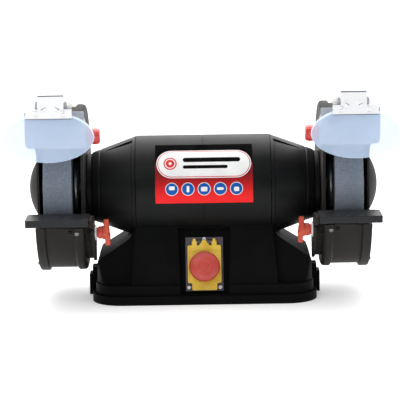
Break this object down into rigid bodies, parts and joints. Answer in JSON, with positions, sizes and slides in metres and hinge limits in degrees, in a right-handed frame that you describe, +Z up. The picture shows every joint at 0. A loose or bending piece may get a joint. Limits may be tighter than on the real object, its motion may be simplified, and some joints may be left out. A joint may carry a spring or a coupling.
{
  "type": "bench grinder",
  "caption": "Twin-wheel bench grinder with guarded wheels, tool rests, tilting eye shields, spark guards, red clamp knobs and a covered stop switch on a flared base.",
  "frame": {"origin": "on the bench, at the middle of the base's underside, straight under the middle of the shaft", "axes": "+X along the shaft to the operator's right, -Y towards the operator, +Z up"},
  "size_m": [0.552, 0.274, 0.3064],
  "materials": {
    "black_paint": "satin black stoved paint on cast and rolled housings",
    "guard_paint": "semi-gloss dark grey paint on pressed sheet",
    "abrasive": "matt blue-grey bonded abrasive grain",
    "bright_steel": "turned bright steel",
    "zinc_plate": "bright zinc-plated sheet",
    "rest_casting": "ground and blued casting, satin",
    "red_knob": "orange-red moulded thermoplastic",
    "clear_shield": "clear polycarbonate with a faint blue tint",
    "label_print": "printed self-adhesive film",
    "switch_grey": "grey moulded switch body",
    "switch_yellow": "yellow moulded flap",
    "switch_red": "red moulded buttons",
    "switch_green": "green moulded button",
    "dark_plastic": "black moulded plastic",
    "motor_core": "stacked laminations"
  },
  "bodies": {
    "frame": {"base": "black_paint", "motor_housing": "black_paint", "end_bell_left": "black_paint", "end_bell_right": "black_paint", "guard_housing_left": "guard_paint", "guard_housing_right": "guard_paint", "guard_cover_left": "guard_paint", "guard_cover_right": "guard_paint", "base_plate": "bright_steel", "flap_pin": "bright_steel", "bearing_left": "bright_steel", "bearing_right": "bright_steel", "rest_stud_left": "zinc_plate", "rest_stud_right": "zinc_plate", "rest_washer_left": "zinc_plate", "rest_washer_right": "zinc_plate", "spark_stud_left": "zinc_plate", "spark_stud_right": "zinc_plate", "label_plate": "label_print", "switch_body": "switch_grey", "cable_gland": "dark_plastic", "capacitor": "dark_plastic", "stator": "motor_core"},
    "rotor": {"shaft": "bright_steel", "rotor_core": "motor_core", "grinding_wheel_left": "abrasive", "grinding_wheel_right": "abrasive", "inner_flange_left": "bright_steel", "inner_flange_right": "bright_steel", "outer_flange_left": "bright_steel", "outer_flange_right": "bright_steel", "wheel_nut_left": "bright_steel", "wheel_nut_right": "bright_steel"},
    "rest_left": {"tool_rest_left": "rest_casting", "rest_bracket_left": "guard_paint"},
    "rest_knob_left": {"rest_knob_left": "red_knob"},
    "spark_left": {"spark_guard_left": "zinc_plate", "shield_bracket_left": "zinc_plate", "hinge_pin_left": "bright_steel"},
    "spark_knob_left": {"spark_knob_left": "red_knob"},
    "shield_left": {"shield_frame_left": "zinc_plate", "lens_backing_left": "zinc_plate", "shield_lens_left": "clear_shield"},
    "hinge_nut_left": {"hinge_nut_left": "bright_steel"},
    "rest_right": {"tool_rest_right": "rest_casting", "rest_bracket_right": "guard_paint"},
    "rest_knob_right": {"rest_knob_right": "red_knob"},
    "spark_right": {"spark_guard_right": "zinc_plate", "shield_bracket_right": "zinc_plate", "hinge_pin_right": "bright_steel"},
    "spark_knob_right": {"spark_knob_right": "red_knob"},
    "shield_right": {"shield_frame_right": "zinc_plate", "lens_backing_right": "zinc_plate", "shield_lens_right": "clear_shield"},
    "hinge_nut_right": {"hinge_nut_right": "bright_steel"},
    "switch_flap": {"switch_flap": "switch_yellow"},
    "stop_mushroom": {"stop_mushroom": "switch_red"},
    "start_button": {"start_button": "switch_green"},
    "stop_button": {"stop_button": "switch_red"}
  },
  "joints": [
    {"name": "rotor_spin", "type": "hinge", "parent": "frame", "child": "rotor", "pos_m": [0, 0, 0.158], "axis": [1, 0, 0], "continuous": true},
    {"name": "rest_slide_left", "type": "slide", "parent": "frame", "child": "rest_left", "axis": [0, -1, 0], "range_m": [0, 0.018]},
    {"name": "rest_knob_turn_left", "type": "hinge", "parent": "frame", "child": "rest_knob_left", "pos_m": [-0.143, -0.07, 0.103], "axis": [-1, 0, 0], "continuous": true},
    {"name": "spark_slide_left", "type": "slide", "parent": "frame", "child": "spark_left", "axis": [0, -1, 0], "range_m": [0, 0.012]},
    {"name": "spark_knob_turn_left", "type": "hinge", "parent": "frame", "child": "spark_knob_left", "pos_m": [-0.155, -0.06, 0.2405], "axis": [-1, 0, 0], "continuous": true},
    {"name": "shield_tilt_left", "type": "hinge", "parent": "spark_left", "child": "shield_left", "pos_m": [-0.2105, -0.1135, 0.292], "axis": [-1, 0, 0], "range_deg": [0, 110]},
    {"name": "hinge_nut_turn_left", "type": "hinge", "parent": "spark_left", "child": "hinge_nut_left", "pos_m": [-0.185, -0.1135, 0.292], "axis": [-1, 0, 0], "continuous": true},
    {"name": "rest_slide_right", "type": "slide", "parent": "frame", "child": "rest_right", "axis": [0, -1, 0], "range_m": [0, 0.018]},
    {"name": "rest_knob_turn_right", "type": "hinge", "parent": "frame", "child": "rest_knob_right", "pos_m": [0.143, -0.07, 0.103], "axis": [1, 0, 0], "continuous": true},
    {"name": "spark_slide_right", "type": "slide", "parent": "frame", "child": "spark_right", "axis": [0, -1, 0], "range_m": [0, 0.012]},
    {"name": "spark_knob_turn_right", "type": "hinge", "parent": "frame", "child": "spark_knob_right", "pos_m": [0.155, -0.06, 0.2405], "axis": [1, 0, 0], "continuous": true},
    {"name": "shield_tilt_right", "type": "hinge", "parent": "spark_right", "child": "shield_right", "pos_m": [0.2105, -0.1135, 0.292], "axis": [-1, 0, 0], "range_deg": [0, 110]},
    {"name": "hinge_nut_turn_right", "type": "hinge", "parent": "spark_right", "child": "hinge_nut_right", "pos_m": [0.185, -0.1135, 0.292], "axis": [1, 0, 0], "continuous": true},
    {"name": "flap_hinge", "type": "hinge", "parent": "frame", "child": "switch_flap", "pos_m": [0, -0.05727, 0.08378], "axis": [-1, 0, 0], "range_deg": [0, 90]},
    {"name": "mushroom_press", "type": "slide", "parent": "switch_flap", "child": "stop_mushroom", "axis": [0, 0.9426, -0.3338], "range_m": [0, 0.004], "stiffness_N_per_m": 300, "springref_m": -0.002},
    {"name": "start_press", "type": "slide", "parent": "frame", "child": "start_button", "axis": [0, 0.9426, -0.3338], "range_m": [0, 0.004], "stiffness_N_per_m": 200, "springref_m": -0.002},
    {"name": "stop_press", "type": "slide", "parent": "frame", "child": "stop_button", "axis": [0, 0.9426, -0.3338], "range_m": [0, 0.004], "stiffness_N_per_m": 200, "springref_m": -0.002}
  ],
  "couplings": [
    {"joint": "stop_press", "follows": "mushroom_press", "ratio": 1}
  ]
}
